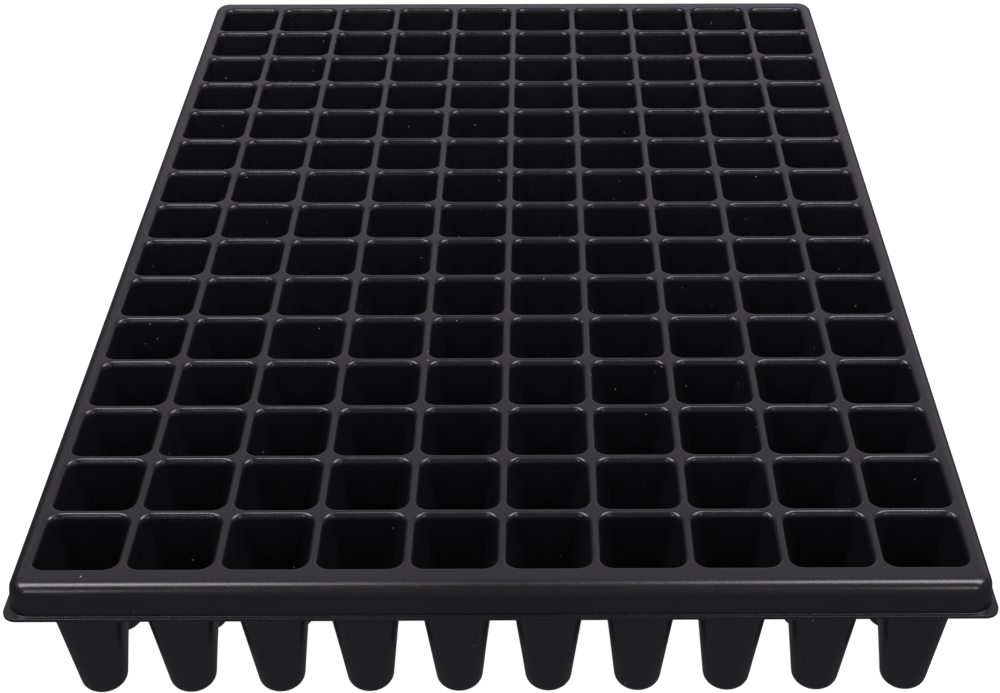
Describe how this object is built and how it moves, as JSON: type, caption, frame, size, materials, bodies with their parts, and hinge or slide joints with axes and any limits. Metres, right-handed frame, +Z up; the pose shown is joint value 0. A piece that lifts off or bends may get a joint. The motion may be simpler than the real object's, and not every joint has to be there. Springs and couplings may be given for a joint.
{
  "type": "seedling plug tray",
  "caption": "Rectangular black plastic tray with a grid of deep square-to-round tapered cells, each with a drain hole, and a skirted rim with a flange, for raising seedlings in plugs.",
  "frame": {"origin": "centre of the tray in plan, on the surface that the soles of the cells stand on", "axes": "+Z up, +Y along the tray's long side away from the end seen in front, +X to the right"},
  "size_m": [0.397, 0.597, 0.077],
  "materials": {
    "sheet": "satin"
  },
  "bodies": {
    "root": {"column_01_front_walls": "sheet", "column_01_back_walls": "sheet", "column_01_side_walls": "sheet", "column_01_soles": "sheet", "column_02_front_walls": "sheet", "column_02_back_walls": "sheet", "column_02_side_walls": "sheet", "column_02_soles": "sheet", "column_03_front_walls": "sheet", "column_03_back_walls": "sheet", "column_03_side_walls": "sheet", "column_03_soles": "sheet", "column_04_front_walls": "sheet", "column_04_back_walls": "sheet", "column_04_side_walls": "sheet", "column_04_soles": "sheet", "column_05_front_walls": "sheet", "column_05_back_walls": "sheet", "column_05_side_walls": "sheet", "column_05_soles": "sheet", "column_06_front_walls": "sheet", "column_06_back_walls": "sheet", "column_06_side_walls": "sheet", "column_06_soles": "sheet", "column_07_front_walls": "sheet", "column_07_back_walls": "sheet", "column_07_side_walls": "sheet", "column_07_soles": "sheet", "column_08_front_walls": "sheet", "column_08_back_walls": "sheet", "column_08_side_walls": "sheet", "column_08_soles": "sheet", "column_09_front_walls": "sheet", "column_09_back_walls": "sheet", "column_09_side_walls": "sheet", "column_09_soles": "sheet", "column_10_front_walls": "sheet", "column_10_back_walls": "sheet", "column_10_side_walls": "sheet", "column_10_soles": "sheet", "front_rail": "sheet", "back_rail": "sheet", "left_rail": "sheet", "right_rail": "sheet", "front_left_corner": "sheet", "front_right_corner": "sheet", "back_left_corner": "sheet", "back_right_corner": "sheet"}
  },
  "joints": []
}
